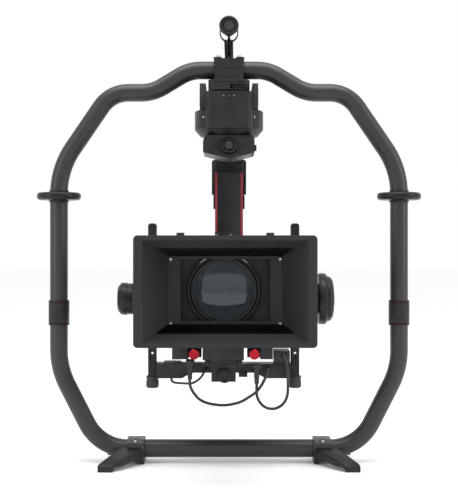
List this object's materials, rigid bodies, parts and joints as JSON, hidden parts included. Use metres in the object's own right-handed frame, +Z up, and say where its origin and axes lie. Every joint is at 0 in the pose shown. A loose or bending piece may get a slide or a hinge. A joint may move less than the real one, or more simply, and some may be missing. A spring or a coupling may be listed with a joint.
{
  "type": "camera gimbal stabilizer",
  "caption": "Ring-grip camera gimbal: motorised pan, roll and tilt axes carry a cage with a cinema camera, lens and matte box; carbon ring on folding-style feet, top handle.",
  "frame": {"origin": "on the floor, midway between the outermost points in X and in Y, under the centre of the ring", "axes": "+Z up, -Y is the side the lens faces, +X is the tilt motor's side"},
  "size_m": [0.652, 0.44, 0.7455],
  "materials": {
    "carbon_tube": "woven carbon fibre tube, satin lacquer",
    "graphite_aluminium": "bead-blasted, dark anodised",
    "black_aluminium": "black anodised, satin",
    "grey_aluminium": "grey anodised",
    "red_aluminium": "red anodised",
    "steel": "machined steel",
    "copper_windings": "lacquered windings",
    "black_plastic": "moulded black plastic, fine grain",
    "rubber": "matt black rubber",
    "lens_glass": "coated optical glass",
    "cable_jacket": "smooth cable jacket"
  },
  "bodies": {
    "ring": {"ring_upper": "carbon_tube", "ring_lower": "carbon_tube", "joint_spigots": "steel", "joint_rings": "red_aluminium", "hand_stops": "black_aluminium", "foot_left": "graphite_aluminium", "foot_right": "graphite_aluminium", "foot_clamp_caps": "grey_aluminium", "foot_pads": "rubber", "ring_clamp_block": "graphite_aluminium", "ring_clamp_cap": "graphite_aluminium", "clamp_screws": "steel", "handle_post": "black_aluminium", "handle_grip": "rubber", "handle_end_cap": "graphite_aluminium", "release_plate": "graphite_aluminium", "head_housing": "graphite_aluminium", "pan_motor_housing": "graphite_aluminium", "pan_stator": "copper_windings", "pan_bearings": "steel"},
    "collar_left": {"collar_left": "graphite_aluminium"},
    "collar_right": {"collar_right": "graphite_aluminium"},
    "release_lever": {"release_lever": "black_aluminium"},
    "battery_left": {"battery_left": "black_plastic"},
    "battery_right": {"battery_right": "black_plastic"},
    "power_button": {"power_button": "grey_aluminium"},
    "pan_carriage": {"pan_rotor": "steel", "arm_clamp_housing": "graphite_aluminium"},
    "arm_knob": {"arm_clamp_knob": "black_aluminium"},
    "arm_lever": {"arm_lock_lever": "black_aluminium"},
    "arm": {"pan_arm": "graphite_aluminium", "pan_arm_stripes": "red_aluminium", "pan_arm_cover": "black_plastic", "roll_motor_housing": "graphite_aluminium"},
    "roll_axis": {"roll_rotor": "steel"},
    "yoke": {"roll_arm": "graphite_aluminium", "tilt_motor_housing": "black_aluminium", "tilt_motor_cover": "graphite_aluminium", "pivot_housing": "black_aluminium", "tilt_bearings": "steel"},
    "tilt_axis": {"tilt_rotor": "black_aluminium", "tilt_pivot": "black_aluminium"},
    "height_knob": {"height_lock_knob": "black_aluminium"},
    "cage": {"cage_posts": "black_aluminium", "post_end_caps": "rubber", "base_crossbar": "graphite_aluminium", "cage_ports": "black_plastic", "cable_plugs": "black_plastic", "lead_power": "cable_jacket", "lead_video": "cable_jacket", "lead_control": "cable_jacket"},
    "clamp_knob": {"dovetail_knob": "black_aluminium"},
    "camera": {"camera_baseplate": "graphite_aluminium", "support_rods": "red_aluminium", "camera_body": "black_plastic", "lens_barrel": "black_aluminium", "lens_glass": "lens_glass", "matte_box": "black_plastic"},
    "focus": {"focus_ring": "rubber"},
    "filter": {"filter_tray": "grey_aluminium"}
  },
  "joints": [
    {"name": "pan", "type": "hinge", "parent": "ring", "child": "pan_carriage", "pos_m": [0, 0, 0.55], "axis": [0, 0, 1], "continuous": true},
    {"name": "arm_slide", "type": "slide", "parent": "pan_carriage", "child": "arm", "axis": [0, 1, 0], "range_m": [-0.008, 0.008]},
    {"name": "arm_knob_turn", "type": "hinge", "parent": "pan_carriage", "child": "arm_knob", "pos_m": [0, -0.045, 0.534], "axis": [0, 1, 0], "range_deg": [0, 270]},
    {"name": "arm_lever_turn", "type": "hinge", "parent": "pan_carriage", "child": "arm_lever", "pos_m": [0.04, -0.01, 0.532], "axis": [1, 0, 0], "range_deg": [0, 30]},
    {"name": "roll", "type": "hinge", "parent": "arm", "child": "roll_axis", "pos_m": [0, 0.165, 0.278], "axis": [0, 1, 0], "range_deg": [-30, 30]},
    {"name": "roll_slide", "type": "slide", "parent": "roll_axis", "child": "yoke", "axis": [1, 0, 0], "range_m": [-0.008, 0.008]},
    {"name": "tilt", "type": "hinge", "parent": "yoke", "child": "tilt_axis", "pos_m": [0, 0, 0.278], "axis": [1, 0, 0], "range_deg": [-35, 40]},
    {"name": "height_lock_turn", "type": "hinge", "parent": "tilt_axis", "child": "height_knob", "pos_m": [-0.13, -0.02, 0.29], "axis": [0, 1, 0], "range_deg": [0, 270]},
    {"name": "cage_height", "type": "slide", "parent": "tilt_axis", "child": "cage", "axis": [0, 0, 1], "range_m": [-0.008, 0.008]},
    {"name": "dovetail_knob_turn", "type": "hinge", "parent": "cage", "child": "clamp_knob", "pos_m": [-0.0075, -0.04, 0.152], "axis": [0, 1, 0], "range_deg": [0, 270]},
    {"name": "camera_slide", "type": "slide", "parent": "cage", "child": "camera", "axis": [0, 1, 0], "range_m": [-0.008, 0.008]},
    {"name": "focus_turn", "type": "hinge", "parent": "camera", "child": "focus", "pos_m": [-0.008, -0.096, 0.298], "axis": [0, 1, 0], "range_deg": [-140, 140]},
    {"name": "filter_lift", "type": "slide", "parent": "camera", "child": "filter", "axis": [0, 0, 1], "range_m": [0, 0.09]},
    {"name": "power_press", "type": "slide", "parent": "ring", "child": "power_button", "axis": [0, 1, 0], "range_m": [0, 0.001], "stiffness_N_per_m": 300},
    {"name": "battery_left_slide", "type": "slide", "parent": "ring", "child": "battery_left", "axis": [0, 1, 0], "range_m": [0, 0.05]},
    {"name": "battery_right_slide", "type": "slide", "parent": "ring", "child": "battery_right", "axis": [0, 1, 0], "range_m": [0, 0.05]},
    {"name": "collar_left_turn", "type": "hinge", "parent": "ring", "child": "collar_left", "pos_m": [-0.289, 0, 0.2545], "axis": [0, 0, 1], "range_deg": [0, 90]},
    {"name": "collar_right_turn", "type": "hinge", "parent": "ring", "child": "collar_right", "pos_m": [0.289, 0, 0.2545], "axis": [0, 0, 1], "range_deg": [0, 90]},
    {"name": "release_lever_turn", "type": "hinge", "parent": "ring", "child": "release_lever", "pos_m": [0.008, -0.0365, 0.633], "axis": [0, 0, -1], "range_deg": [0, 75]}
  ]
}
